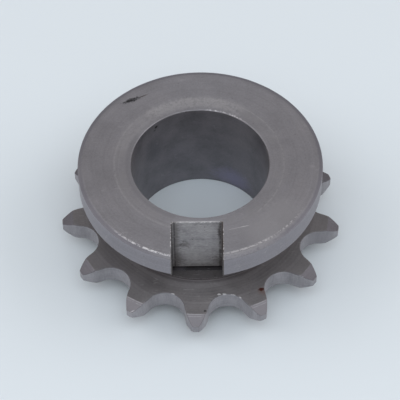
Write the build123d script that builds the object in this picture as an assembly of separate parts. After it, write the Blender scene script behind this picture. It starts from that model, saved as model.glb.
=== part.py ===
from build123d import *
import math
import os

# A roller chain sprocket with a wide collar, turned, hobbed and milled from one piece of steel.
# Millimetres. The origin is on the bore axis at the lower face of the boss, and +Z points to the collar.
# The slot opens towards -Y.

# ---- Chain and teeth ----
tooth_count = 13
chain_pitch = 12.7
roller_diameter = 7.77
tooth_addendum = 2.465        # tooth tip above the pitch circle
tip_land = 1.3                # width of the tooth tip before its corners are rounded
tip_corner_radius = 0.4
tip_corner_share = 0.97       # of the largest corner radius that the tip land can carry
tip_bevel_length = 2.3        # radial length of the conical bevel on both faces of the teeth
tip_bevel_depth = 1.22
tooth_lead_angle = 2.52       # from the slot's direction round to the nearest tooth, clockwise from above

# ---- Heights, stacked from the boss up ----
boss_height = 3.5
plate_thickness = 4.25
groove_width = 9.85           # free height for the chain between plate and collar
collar_thickness = 5.3

# ---- Diameters ----
bore_diameter = 28.0
boss_diameter = 36.8
neck_diameter = 36.8
collar_diameter = 49.6

# ---- Edges ----
bore_edge_break = 0.25
boss_edge_break = 0.4
collar_rim_width = 1.05       # the collar's upper rim falls away gently over this width
collar_rim_drop = 0.2
collar_lower_break = 0.3
neck_foot_radius = 0.3
neck_head_break = 0.5

# ---- Slot through the collar and down the neck ----
slot_width = 10.15
slot_offset = -0.8            # middle of the slot, along X from the bore axis
slot_wall = 1.17              # metal left between the slot's back and the bore
slot_floor_rise = 0.43        # slot floor above the upper face of the plate
slot_corner_radius = 0.35
slot_edge_break = 0.25
relief_width = 1.1            # tool relief sunk in the slot's floor along the foot of its back
relief_depth = 0.9
relief_undercut = 0.35        # how far the relief reaches under the slot's back

# ---- Worked out from the sizes above ----
pitch_radius = chain_pitch / (2 * math.sin(math.pi / tooth_count))
seat_radius = 0.505 * roller_diameter + 0.069 * roller_diameter ** (1 / 3)
seat_angle = 140 - 90 / tooth_count   # of the roller seat arc, both sides together
tip_radius = pitch_radius + tooth_addendum
bore_radius = bore_diameter / 2
boss_radius = boss_diameter / 2
neck_radius = neck_diameter / 2
collar_radius = collar_diameter / 2
plate_bottom = boss_height
plate_top = plate_bottom + plate_thickness
collar_bottom = plate_top + groove_width
collar_top = collar_bottom + collar_thickness
clear = 1.0                   # how far a cutter runs past what it cuts
closeness = 0.001             # within which a corner counts as the one looked for


def turned_blank():
    """The body of revolution, with the plate still a full disc bevelled to the tooth tips."""
    bevel_start = tip_radius - tip_bevel_length
    outline = [
        (bore_radius + bore_edge_break, 0),
        (boss_radius - boss_edge_break, 0),
        (boss_radius, boss_edge_break),
        (boss_radius, plate_bottom),
        (bevel_start, plate_bottom),
        (tip_radius, plate_bottom + tip_bevel_depth),
        (tip_radius, plate_top - tip_bevel_depth),
        (bevel_start, plate_top),
        (neck_radius, plate_top),
        (neck_radius, collar_bottom - neck_head_break),
        (neck_radius + neck_head_break, collar_bottom),
        (collar_radius - collar_lower_break, collar_bottom),
        (collar_radius, collar_bottom + collar_lower_break),
        (collar_radius, collar_top - collar_rim_drop),
        (collar_radius - collar_rim_width, collar_top),
        (bore_radius + bore_edge_break, collar_top),
        (bore_radius, collar_top - bore_edge_break),
        (bore_radius, bore_edge_break),
    ]
    section = make_face(Polyline(*outline, close=True))
    neck_foot = Vector(neck_radius, plate_top)
    at_foot = lambda v: (Vector(v) - neck_foot).length < closeness
    section = fillet(section.vertices().filter_by(at_foot), neck_foot_radius)
    return revolve(Plane.XZ * section, axis=Axis.Z)


def flank():
    """The upper flank of the space on +X: one arc, tangent to the roller seat, out to the tip land."""
    half_seat = math.radians(seat_angle / 2)
    tip_angle = math.pi / tooth_count - tip_land / (2 * tip_radius)
    seat_end = Vector(pitch_radius - seat_radius * math.cos(half_seat), seat_radius * math.sin(half_seat))
    outward = Vector(math.sin(half_seat), math.cos(half_seat))
    tip_corner = Vector(tip_radius * math.cos(tip_angle), tip_radius * math.sin(tip_angle))
    return TangentArc(seat_end, tip_corner, tangent=outward)


def tooth_gap():
    """One space between two teeth, centred on +X: a roller seat arc and a flank on each side."""
    upper = flank()
    seat_end = upper @ 0
    tip_corner = upper @ 1
    outside = tip_corner * (1 + clear / tip_radius)
    seat = ThreePointArc(seat_end, Vector(pitch_radius - seat_radius, 0), mirrored(seat_end))
    lower = TangentArc(mirrored(seat_end), mirrored(tip_corner), tangent=mirrored(upper % 0))
    mouth = Polyline(tip_corner, outside, mirrored(outside), mirrored(tip_corner))
    return make_face([seat, upper, lower, mouth])


def mirrored(point):
    """The point on the other side of the X axis."""
    return Vector(point.X, -point.Y)


def tip_corner_limit():
    """The corner radius at which the two corners of one tooth tip would meet."""
    land_direction = mirrored(flank() @ 1).rotate(Axis.Z, 90)
    turn = mirrored(flank() % 1).get_angle(-land_direction)
    return tip_land / 2 / math.tan(math.radians(turn / 2))


def tooth_outline():
    """The toothed outline seen along the axis, with the tip corners rounded."""
    first_gap = -90 - tooth_lead_angle + 180 / tooth_count
    gaps = PolarLocations(0, tooth_count, start_angle=first_gap) * tooth_gap()
    toothed = Circle(tip_radius) - gaps
    at_tip = lambda v: abs(Vector(v).length - tip_radius) < closeness
    corner_radius = min(tip_corner_radius, tip_corner_share * tip_corner_limit())
    return fillet(toothed.vertices().filter_by(at_tip), corner_radius)


def tooth_spaces():
    """What the hob takes away around the teeth, at the height of the plate only."""
    around = Circle(tip_radius + clear) - tooth_outline()
    height = plate_thickness + 2 * clear
    return Pos(0, 0, plate_bottom - clear) * extrude(around, height)


def slot():
    """The slot, its broken upper edges and the relief sunk in its floor."""
    back = -(bore_radius + slot_wall)
    front = -(collar_radius + clear)
    floor = plate_top + slot_floor_rise
    outline = Pos(slot_offset, (back + front) / 2) * Rectangle(slot_width, back - front)
    inner_corners = outline.vertices().group_by(Axis.Y)[-1]
    outline = fillet(inner_corners, slot_corner_radius)
    cut = Pos(0, 0, floor) * extrude(outline, collar_top - floor)
    edge_break = Pos(0, 0, collar_top - slot_edge_break) * extrude(outline, slot_edge_break, taper=-45)
    relief = Box(
        slot_width,
        relief_width + relief_undercut,
        relief_depth,
        align=(Align.CENTER, Align.MAX, Align.MAX),
    )
    return cut + edge_break + Pos(slot_offset, back + relief_undercut, floor) * relief


sprocket = turned_blank() - tooth_spaces() - slot()
sprocket.label = "sprocket"

os.makedirs("parts", exist_ok=True)
export_step(sprocket, "parts/sprocket.step")
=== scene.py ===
"""A used chain sprocket with a slotted collar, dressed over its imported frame.

Everything is in the part's own frame: the origin is on the bore axis at the boss's lower face,
+Z points to the collar and the slot opens towards -Y. Meshes are worked out in millimetres and
are scaled to metres once, when an object is made from them.
"""
import logging
import math
import random
from dataclasses import dataclass, field
from enum import Enum
from functools import partial
from typing import Iterable, Sequence

import bmesh
import bpy
from bpy.types import Node, NodeSocket, NodeTree, Object
from mathutils import Matrix, Vector


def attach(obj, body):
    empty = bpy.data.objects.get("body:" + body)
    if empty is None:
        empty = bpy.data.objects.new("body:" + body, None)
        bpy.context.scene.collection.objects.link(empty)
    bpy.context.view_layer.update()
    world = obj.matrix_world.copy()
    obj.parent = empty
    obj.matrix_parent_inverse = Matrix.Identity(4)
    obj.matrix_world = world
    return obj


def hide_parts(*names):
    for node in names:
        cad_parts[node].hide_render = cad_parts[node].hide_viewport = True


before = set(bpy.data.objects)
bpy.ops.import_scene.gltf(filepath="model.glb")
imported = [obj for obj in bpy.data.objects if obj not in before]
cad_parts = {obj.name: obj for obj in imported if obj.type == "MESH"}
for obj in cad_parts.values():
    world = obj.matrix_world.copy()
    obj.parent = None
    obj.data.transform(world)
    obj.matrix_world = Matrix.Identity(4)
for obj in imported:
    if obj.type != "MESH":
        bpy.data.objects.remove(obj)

log = logging.getLogger("sprocket")
MILLIMETRE = 0.001
HAIR = 0.02  # millimetres within which a face counts as lying on a surface
WELD = 1e-5  # millimetres within which corners are merged
SEED = 41

Point2 = tuple[float, float]
Point3 = tuple[float, float, float]
Colour = tuple[float, float, float]
Ring = Sequence[bmesh.types.BMVert]
Outline = list[tuple[Vector, Vector]]  # points, each with the normal there


class Zone(Enum):
    """The surfaces of the sprocket that were worked differently; the value is the material slot."""

    TURNED_FACE = 0
    COLLAR_SIDE = 1
    SLOT_WALL = 2
    SLOT_FLOOR = 3
    RELIEF = 4
    PLATE_FACE = 5
    TOOTH_FLANK = 6
    TOOTH_BEVEL = 7
    BORE = 8
    UNDERSIDE = 9


# Sizes


# How a roller seat's radius follows from the roller's diameter and the cube root of that diameter, and
# how its angle in degrees follows from the number of teeth
SEAT_SHARE = 0.505
SEAT_ALLOWANCE = 0.069
SEAT_ANGLE = 140
SEAT_ANGLE_LOSS = 90


@dataclass(frozen=True)
class SprocketSizes:
    """The sprocket's driving sizes in millimetres and degrees, with what follows from them."""

    tooth_count: int = 13
    chain_pitch: float = 12.7
    roller_diameter: float = 7.77
    tooth_addendum: float = 2.465
    tip_land: float = 1.3
    tip_corner_radius: float = 0.4
    tip_bevel_length: float = 2.3
    tip_bevel_depth: float = 1.22
    tooth_lead_angle: float = 2.52

    boss_height: float = 3.5
    plate_thickness: float = 4.25
    groove_width: float = 9.85
    collar_thickness: float = 5.3

    bore_radius: float = 14.0
    boss_radius: float = 18.4
    neck_radius: float = 18.4
    collar_radius: float = 24.8

    bore_edge_break: float = 0.15
    boss_edge_break: float = 0.4
    collar_rim_width: float = 1.05
    collar_rim_drop: float = 0.2
    collar_lower_break: float = 0.3
    neck_foot_radius: float = 0.3
    neck_head_break: float = 0.5

    slot_width: float = 10.15
    slot_offset: float = -0.8
    slot_wall: float = 1.17
    slot_floor_rise: float = 0.43
    slot_corner_radius: float = 0.35
    slot_edge_break: float = 0.25
    relief_width: float = 1.1
    relief_depth: float = 0.9
    relief_undercut: float = 0.35

    @property
    def pitch_radius(self) -> float:
        """Radius of the circle through the chain's pins."""
        return self.chain_pitch / (2 * math.sin(math.pi / self.tooth_count))

    @property
    def seat_radius(self) -> float:
        """Radius of the arc that a chain roller sits in."""
        return SEAT_SHARE * self.roller_diameter + SEAT_ALLOWANCE * self.roller_diameter ** (1 / 3)

    @property
    def seat_angle(self) -> float:
        """Angle of the roller seat arc in degrees, both sides together."""
        return SEAT_ANGLE - SEAT_ANGLE_LOSS / self.tooth_count

    @property
    def tip_radius(self) -> float:
        """Radius over the tooth tips."""
        return self.pitch_radius + self.tooth_addendum

    @property
    def bevel_start(self) -> float:
        """Radius at which the conical bevel of the teeth begins."""
        return self.tip_radius - self.tip_bevel_length

    @property
    def plate_bottom(self) -> float:
        """Height of the plate's lower face."""
        return self.boss_height

    @property
    def plate_top(self) -> float:
        """Height of the plate's upper face."""
        return self.plate_bottom + self.plate_thickness

    @property
    def collar_bottom(self) -> float:
        """Height of the collar's lower face."""
        return self.plate_top + self.groove_width

    @property
    def collar_top(self) -> float:
        """Height of the collar's upper face."""
        return self.collar_bottom + self.collar_thickness

    @property
    def slot_floor(self) -> float:
        """Height of the slot's floor."""
        return self.plate_top + self.slot_floor_rise

    @property
    def slot_back(self) -> float:
        """Y of the slot's back wall."""
        return -(self.bore_radius + self.slot_wall)

    @property
    def slot_sides(self) -> Point2:
        """X of the slot's two side walls."""
        return self.slot_offset - self.slot_width / 2, self.slot_offset + self.slot_width / 2


SIZES = SprocketSizes()

# Plane geometry


def direction(angle: float) -> Vector:
    """The unit vector at an angle in radians."""
    return Vector((math.cos(angle), math.sin(angle)))


def share(value: float, start: float, width: float) -> float:
    """How far a value has come from a start over a width, kept from 0 to 1."""
    return min(1.0, max(0.0, (value - start) / width))


def mirrored(rows: Outline, flip: Point2) -> Outline:
    """An outline on the other side of an axis, in reverse order."""
    return [(point * Vector(flip), normal * Vector(flip)) for point, normal in reversed(rows)]


def swept(first: Vector, last: Vector, steps: int) -> list[Vector]:
    """Directions between two others.

    Args:
        first: Where the turn starts; it isn't given back.
        last: Where it ends.
        steps: How many equal turns it is divided into.

    Returns:
        The directions in order, the last one included.
    """
    turn = first.angle_signed(last)
    ways = []
    for i in range(1, steps + 1):
        way = first.copy()
        way.rotate(Matrix.Rotation(-turn * i / steps, 2))
        ways.append(way)
    return ways


def arc_points(centre: Vector, radius: float, start: float, end: float, steps: int) -> list[Point2]:
    """Points along an arc from one angle in radians to another, both ends included."""
    angles = [start + (end - start) * i / steps for i in range(steps + 1)]
    return [(centre.x + radius * math.cos(a), centre.y + radius * math.sin(a)) for a in angles]


def rounded_path(corners: Sequence[Point3], steps: int = 4) -> list[Point2]:
    """An open path whose corners are rounded.

    Args:
        corners: (x, y, radius) of each corner; a radius of 0 leaves it sharp.
        steps: How many chords each rounding is divided into.

    Returns:
        The points in order.
    """
    path: list[Point2] = []
    for i, (x, y, radius) in enumerate(corners):
        if radius <= 0 or i in (0, len(corners) - 1):
            path.append((x, y))
            continue
        here = Vector((x, y))
        into = (Vector(corners[i - 1][:2]) - here).normalized()
        away = (Vector(corners[i + 1][:2]) - here).normalized()
        half = into.angle(away) / 2
        middle = here + (into + away).normalized() * (radius / math.sin(half))
        first = here + into * (radius / math.tan(half)) - middle
        last = here + away * (radius / math.tan(half)) - middle
        start = math.atan2(first.y, first.x)
        path += arc_points(middle, radius, start, start - first.angle_signed(last), steps)
    return path


# How many times more each wave of a ripple goes round than the one before, and how fast the waves fade
WAVE_STEP = 7
WAVE_FADE = 0.15


def ripple(azimuth: float, phases: Sequence[float], first: int = 5) -> float:
    """An uneven wave round the axis, from about -1 to 1.

    Args:
        azimuth: Angle in radians.
        phases: Phase of each wave that is added.
        first: Count of the longest wave round the axis.

    Returns:
        The wave's value.
    """
    total = 0.0
    for i, phase in enumerate(phases):
        total += math.sin(azimuth * (first + WAVE_STEP * i) + phase) / (1 + WAVE_FADE * i)
    return total / math.sqrt(len(phases))


def random_phases(count: int) -> list[float]:
    """Draws the phases of so many waves."""
    return [random.uniform(0, 2 * math.pi) for _ in range(count)]


@dataclass(frozen=True)
class ToothForm:
    """The toothed outline seen along the axis: roller seats, flanks and rounded tips."""

    sizes: SprocketSizes = SIZES
    seat_steps: int = 14
    flank_steps: int = 10
    corner_steps: int = 9

    def half_pitch(self) -> Outline:
        """The outline from the middle of a tooth space on +X to the middle of the next tooth.

        Returns:
            Its points, with normals out of the metal.
        """
        s = self.sizes
        pitch, seat, corner = s.pitch_radius, s.seat_radius, s.tip_corner_radius
        half_seat = math.radians(s.seat_angle / 2)
        tip_angle = math.pi / s.tooth_count - s.tip_land / (2 * s.tip_radius)
        seat_end = Vector((pitch - seat * math.cos(half_seat), seat * math.sin(half_seat)))
        tip = Vector((s.tip_radius * math.cos(tip_angle), s.tip_radius * math.sin(tip_angle)))
        side = direction(-half_seat)
        chord = tip - seat_end
        flank = chord.length_squared / (2 * side.dot(chord))
        flank_centre = seat_end + side * flank
        hollow = 1 if flank > 0 else -1
        corner_centre = self._corner_centre(flank_centre, abs(flank + corner), s.tip_radius - corner, tip)
        leave = (corner_centre - flank_centre).normalized()
        rows = []
        for i in range(self.seat_steps + 1):
            way = direction(math.pi - half_seat * i / self.seat_steps)
            rows.append((Vector((pitch, 0)) + way * seat, -way))
        for way in swept((seat_end - flank_centre).normalized(), leave, self.flank_steps):
            rows.append((flank_centre + way * abs(flank), -way * hollow))
        for way in swept(-leave * hollow, corner_centre.normalized(), self.corner_steps):
            rows.append((corner_centre + way * corner, way))
        way = direction(math.pi / s.tooth_count)
        rows.append((way * s.tip_radius, way))
        return rows

    @staticmethod
    def _corner_centre(flank_centre: Vector, reach: float, ring: float, near: Vector) -> Vector:
        """Centre of the tip's corner arc.

        Args:
            flank_centre: Centre of the flank arc.
            reach: Its distance from the corner's centre.
            ring: The corner centre's distance from the axis.
            near: A point that tells the two solutions apart.

        Returns:
            The solution nearest to that point.
        """
        d = flank_centre.length
        along = (ring**2 - reach**2 + d**2) / (2 * d)
        across = math.sqrt(ring**2 - along**2)
        unit = flank_centre / d
        square = Vector((-unit.y, unit.x))
        both = (unit * along + square * across, unit * along - square * across)
        return min(both, key=lambda c: (c - near).length)

    def outline(self) -> Outline:
        """The whole outline.

        Returns:
            Its points anticlockwise from above, with normals out of the metal.
        """
        half = self.half_pitch()
        one = mirrored(half, (1, -1))[:-1] + half[:-1]
        count = self.sizes.tooth_count
        first_gap = math.radians(-90 - self.sizes.tooth_lead_angle + 180 / count)
        rows = []
        for k in range(count):
            spin = Matrix.Rotation(first_gap + 2 * math.pi * k / count, 2)
            rows += [(spin @ p, spin @ n) for p, n in one]
        return rows


# Meshes


@dataclass
class MeshBench:
    """Collects points and faces and turns them into a mesh object."""

    mesh: bmesh.types.BMesh = field(default_factory=bmesh.new)

    def ring(self, points: Iterable[Point3]) -> Ring:
        """Adds points and gives back their vertices in the same order."""
        return [self.mesh.verts.new(p) for p in points]

    def face(self, corners: Ring) -> None:
        """Adds a face on the corners that differ, if three or more do.

        Args:
            corners: Its vertices in order.
        """
        distinct = list(dict.fromkeys(corners))
        if len(distinct) > 2:
            self.mesh.faces.new(distinct)

    def bridge(self, lower: Ring, upper: Ring) -> None:
        """Joins two closed rings of the same length.

        Args:
            lower: One ring, anticlockwise seen from outside above.
            upper: The next ring.
        """
        for i in range(len(lower)):
            j = (i + 1) % len(lower)
            self.face((lower[i], lower[j], upper[j], upper[i]))

    def annulus(self, inner: Ring, outer: Ring) -> None:
        """Fills the flat region between two closed rings whose lengths may differ.

        Args:
            inner: The ring nearer to the axis.
            outer: The ring round it.
        """
        edges = []
        for loop in (inner, outer):
            for i, v in enumerate(loop):
                w = loop[(i + 1) % len(loop)]
                edges.append(self.mesh.edges.get((v, w)) or self.mesh.edges.new((v, w)))
        bmesh.ops.triangle_fill(self.mesh, edges=edges, use_beauty=True)

    def prism(self, name: str, rows: Iterable[Iterable[Point3]]) -> Object:
        """An object closed at both ends.

        Args:
            name: Its name.
            rows: Its rings from the bottom to the top.

        Returns:
            The object.
        """
        rings = [self.ring(row) for row in rows]
        for lower, upper in zip(rings, rings[1:]):
            self.bridge(lower, upper)
        self.face(rings[0])
        self.face(rings[-1])
        return self.object(name)

    def object(self, name: str) -> Object:
        """Closes the mesh and makes an object of it, in metres.

        Args:
            name: Name of the object and of its mesh.

        Returns:
            The object, linked to the scene.
        """
        bmesh.ops.remove_doubles(self.mesh, verts=self.mesh.verts, dist=WELD)
        bmesh.ops.recalc_face_normals(self.mesh, faces=self.mesh.faces)
        bmesh.ops.scale(self.mesh, vec=(MILLIMETRE,) * 3, verts=self.mesh.verts)
        data = bpy.data.meshes.new(name)
        self.mesh.to_mesh(data)
        self.mesh.free()
        return linked(name, data)


def linked(name: str, data: bpy.types.ID) -> Object:
    """An object with its data, linked to the scene.

    Args:
        name: Its name.
        data: Its mesh, lamp or camera.

    Returns:
        The object.
    """
    made = bpy.data.objects.new(name, data)
    bpy.context.scene.collection.objects.link(made)
    return made


@dataclass
class TurnedHub:
    """The boss, the bore, the neck and the collar: one section turned about the axis."""

    sizes: SprocketSizes = SIZES
    columns: int = 360
    edge_radius: float = 0.08
    soft_radius: float = 0.1
    rim_radius: float = 0.5
    rim_lip: float = 0.1
    rim_lip_rise: float = 0.02
    rim_lip_fall: float = 0.12
    rim_knocks: float = 0.03
    knock_waves: int = 9
    knock_reach: float = 0.1
    knock_fade: float = 0.3
    knock_depth: float = 0.15
    face_step_radius: float = 17.55
    face_step_drop: float = 0.008
    face_step_width: float = 0.4

    def section(self) -> list[Point2]:
        """The section from the plate's lower face round under the boss, up the bore and down the neck.

        Returns:
            (radius, height) of each ring.
        """
        s, e = self.sizes, self.edge_radius
        top, rim_foot = s.collar_top, s.collar_top - s.collar_rim_drop
        sunk = top - self.face_step_drop
        corners = [
            (s.boss_radius, s.plate_bottom, 0),
            (s.boss_radius, s.boss_edge_break, e),
            (s.boss_radius - s.boss_edge_break, 0, e),
            (s.bore_radius + s.bore_edge_break, 0, e),
            (s.bore_radius, s.bore_edge_break, e),
            (s.bore_radius, sunk - s.bore_edge_break, e),
            (s.bore_radius + s.bore_edge_break, sunk, e),
            (self.face_step_radius, sunk, 0),
            (self.face_step_radius + self.face_step_width, top, 0),
            (s.collar_radius - s.collar_rim_width, top, self.rim_radius),
            (s.collar_radius - self.rim_lip, rim_foot + self.rim_lip_rise, self.soft_radius),
            (s.collar_radius, rim_foot - self.rim_lip_fall, self.soft_radius),
            (s.collar_radius, s.collar_bottom + s.collar_lower_break, e),
            (s.collar_radius - s.collar_lower_break, s.collar_bottom, e),
            (s.neck_radius + s.neck_head_break, s.collar_bottom, self.soft_radius),
            (s.neck_radius, s.collar_bottom - s.neck_head_break, self.soft_radius),
            (s.neck_radius, s.plate_top, s.neck_foot_radius),
            (s.neck_radius + s.neck_foot_radius, s.plate_top, 0),
        ]
        return rounded_path(corners)

    def _on_rim(self, radius: float, height: float) -> float:
        """How far a ring belongs to the knocked rim of the upper face.

        Args:
            radius: The ring's radius.
            height: Its height.

        Returns:
            A value from 0 to 1.
        """
        s = self.sizes
        if height < s.collar_top - s.collar_rim_drop - self.knock_depth:
            return 0.0
        return share(radius, s.collar_radius - s.collar_rim_width - self.knock_reach, self.knock_fade)

    def build(self, bench: MeshBench) -> tuple[Ring, Ring]:
        """Turns the section into rings.

        Args:
            bench: Where the rings are laid.

        Returns:
            The first ring, on the plate's lower face, and the last, on its upper face.
        """
        rings = []
        phases = random_phases(self.knock_waves)
        for radius, height in self.section():
            row = []
            for j in range(self.columns):
                a = 2 * math.pi * j / self.columns - math.pi / 2
                sunk = self.rim_knocks * self._on_rim(radius, height) * (0.5 + 0.5 * ripple(a, phases))
                row.append((radius * math.cos(a), radius * math.sin(a), height - max(0.0, sunk)))
            rings.append(bench.ring(row))
        for lower, upper in zip(rings, rings[1:]):
            bench.bridge(upper, lower)
        return rings[0], rings[-1]


@dataclass
class ToothedPlate:
    """The plate with its teeth, their bevelled tips and softened edges."""

    sizes: SprocketSizes = SIZES
    edge_radius: float = 0.13
    edge_steps: int = 3
    edge_waves: int = 8
    edge_wave_count: int = 17
    edge_share: float = 0.85
    edge_swing: float = 0.35
    wall_steps: int = 5
    terraces: Sequence[float] = (0.0, 0.04, 0.3, 0.34, 0.72, 0.76, 1.5)
    terrace_lift: Sequence[float] = (0.0, -0.012, -0.004, -0.016, -0.006, -0.016, 0.0)

    def face_drop(self, radius: float) -> float:
        """How far the bevelled face lies under the flat one at a radius."""
        s = self.sizes
        return max(0.0, radius - s.bevel_start) * s.tip_bevel_depth / s.tip_bevel_length

    def build(self, bench: MeshBench, lower_ring: Ring, upper_ring: Ring) -> None:
        """Lays the plate between the hub's two open rings.

        Args:
            bench: Where the faces are laid.
            lower_ring: The hub's ring on the plate's lower face.
            upper_ring: The hub's ring on the plate's upper face.
        """
        s = self.sizes
        outline = ToothForm(s).outline()
        middle = (s.plate_top + s.plate_bottom) / 2
        faces = []
        for side in (1, -1):
            rows = self._face_rows(outline, s.plate_thickness / 2)
            faces.append([[(x, y, middle + side * z) for x, y, z in row] for row in rows])
        walls = self._wall_rows(faces[0][-1], faces[1][-1])
        up, down, sides = [[bench.ring(row) for row in rows] for rows in (*faces, walls)]
        chain = up + sides + down[::-1]
        for outer, inner in zip(chain[1:], chain):
            bench.bridge(outer, inner)
        bench.annulus(upper_ring, up[0])
        bench.annulus(lower_ring, down[0])

    def _face_rows(self, outline: Outline, half: float) -> list[list[Point3]]:
        """Rings of one face from the bevel's start over the softened edge.

        Args:
            outline: The toothed outline.
            half: Half the plate's thickness.

        Returns:
            Rings with heights above the plate's middle.
        """
        rows = []
        phases = random_phases(self.edge_waves)
        waves = [ripple(math.atan2(p.y, p.x), phases, self.edge_wave_count) for p, _ in outline]
        soft = [self.edge_radius * (self.edge_share + self.edge_swing * wave) for wave in waves]
        insets = [p - n * e for (p, n), e in zip(outline, soft)]
        for reach, lift in zip(self.terraces, self.terrace_lift):
            ring_radius = self.sizes.bevel_start + reach
            row = []
            for q in insets:
                r = min(ring_radius, q.length)
                at = q.normalized() * r
                settled = lift if r >= ring_radius else 0.0
                row.append((at.x, at.y, half - self.face_drop(r) + settled))
            rows.append(row)
        for step in range(self.edge_steps + 1):
            a = math.pi / 2 * step / self.edge_steps
            row = []
            for (_, n), q, e in zip(outline, insets, soft):
                at = q + n * e * math.sin(a)
                row.append((at.x, at.y, half - self.face_drop(q.length) - e * (1 - math.cos(a))))
            rows.append(row)
        return rows

    def _wall_rows(self, top: list[Point3], bottom: list[Point3]) -> list[list[Point3]]:
        """Rings between the last ones of the two softened edges, from top to bottom, without those two."""
        parts = [step / self.wall_steps for step in range(1, self.wall_steps)]
        return [[(a[0], a[1], a[2] + (b[2] - a[2]) * part) for a, b in zip(top, bottom)] for part in parts]


@dataclass
class SlotCutter:
    """What the milling cutter takes out of the collar and the neck."""

    sizes: SprocketSizes = SIZES
    mouth_radius: float = 0.22
    mouth_share: float = 0.92
    run_out: float = 1.5
    corner_steps: int = 6
    soft_steps: int = 5
    flare_angle: float = 82.0
    flare_share: float = 0.99

    def plan(self) -> Outline:
        """The cut seen from above.

        Returns:
            Its points anticlockwise, with normals into the metal.
        """
        left, right = self.sizes.slot_sides
        near = self._mouth(right) + self._corner(right)
        far = self._mouth(-left) + self._corner(-left)
        return near + mirrored(far, (-1, 1))

    def _corner(self, wall: float) -> Outline:
        """The rounded corner between a side wall on +X and the back.

        Args:
            wall: X of the side wall.

        Returns:
            Points and normals from the wall to the back.
        """
        r = self.sizes.slot_corner_radius
        centre = Vector((wall - r, self.sizes.slot_back - r))
        ways = [direction(math.pi / 2 * i / self.corner_steps) for i in range(self.corner_steps + 1)]
        return [(centre + way * r, way) for way in ways]

    def _mouth(self, wall: float) -> Outline:
        """The softened edge where a side wall on +X leaves through the collar's side.

        Args:
            wall: X of the side wall.

        Returns:
            Points and normals from outside the collar to the wall.
        """
        s, f = self.sizes, self.mouth_radius
        x = wall + f
        y = -math.sqrt((s.collar_radius - f) ** 2 - x**2)
        end = math.atan2(y, x)
        rows = []
        for i in range(self.soft_steps + 1):
            way = direction(-math.pi + (end + math.pi) * self.mouth_share * i / self.soft_steps)
            rows.append((Vector((x, y)) + way * f, -way))
        out = rows[-1][0].normalized() * (s.collar_radius + self.run_out)
        rows.append((out, Vector((1, 0))))
        return rows[::-1]

    def build(self) -> Object:
        """The cutter as a closed object: straight below, flared softly at the top.

        Returns:
            The object.
        """
        s = self.sizes
        flare = s.slot_edge_break
        levels = [(s.slot_floor, 0.0)]
        for i in range(self.soft_steps + 1):
            a = math.radians(self.flare_angle) * i / self.soft_steps
            height = s.collar_top - flare * (self.flare_share - math.sin(a))
            levels.append((height, flare * (1 - math.cos(a))))
        levels.append((s.collar_top + self.run_out, levels[-1][1]))
        rows = []
        for height, out in levels:
            row = []
            for p, n in self.plan():
                at = p + n * out
                sunk = self._rim_drop(at.length) if height > s.slot_floor else 0.0
                row.append((at.x, at.y, height - sunk))
            rows.append(row)
        return MeshBench().prism("slot_cutter", rows)

    def _rim_drop(self, radius: float) -> float:
        """How far the collar's upper face has fallen at a radius."""
        s = self.sizes
        return share(radius, s.collar_radius - s.collar_rim_width, s.collar_rim_width) * s.collar_rim_drop

    def relief(self) -> Object:
        """The tool relief along the foot of the slot's back.

        Returns:
            Its cutter.
        """
        s = self.sizes
        left, right = s.slot_sides
        front = s.slot_back - s.relief_width
        back = s.slot_back + s.relief_undercut
        corners = ((left, front), (right, front), (right, back), (left, back))
        heights = (s.slot_floor - s.relief_depth, s.slot_floor)
        return MeshBench().prism("relief_cutter", [[(x, y, z) for x, y in corners] for z in heights])


@dataclass
class Gouge:
    """A shallow dent that something hard left, cut with a stretched ball."""

    name: str = "face_gouge"
    middle: Point3 = (-14.1, 16.95, SIZES.collar_top)
    length: float = 4.4
    width: float = 0.6
    depth: float = 0.12
    heading: float = 25.0
    lift: float = 1.5

    def build(self) -> Object:
        """The dent's cutter, lying so far proud of the face that only its belly cuts.

        Returns:
            The cutter.
        """
        bench = MeshBench()
        ball = bmesh.ops.create_icosphere(bench.mesh, subdivisions=3, radius=1.0)["verts"]
        proud = self.depth * self.lift
        bmesh.ops.scale(bench.mesh, vec=(self.length / 2, self.width / 2, self.depth + proud), verts=ball)
        turn = Matrix.Rotation(math.radians(self.heading), 4, "Z")
        bmesh.ops.transform(bench.mesh, matrix=turn, verts=ball)
        bmesh.ops.translate(bench.mesh, vec=Vector(self.middle) + Vector((0, 0, proud)), verts=ball)
        return bench.object(self.name)


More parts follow.
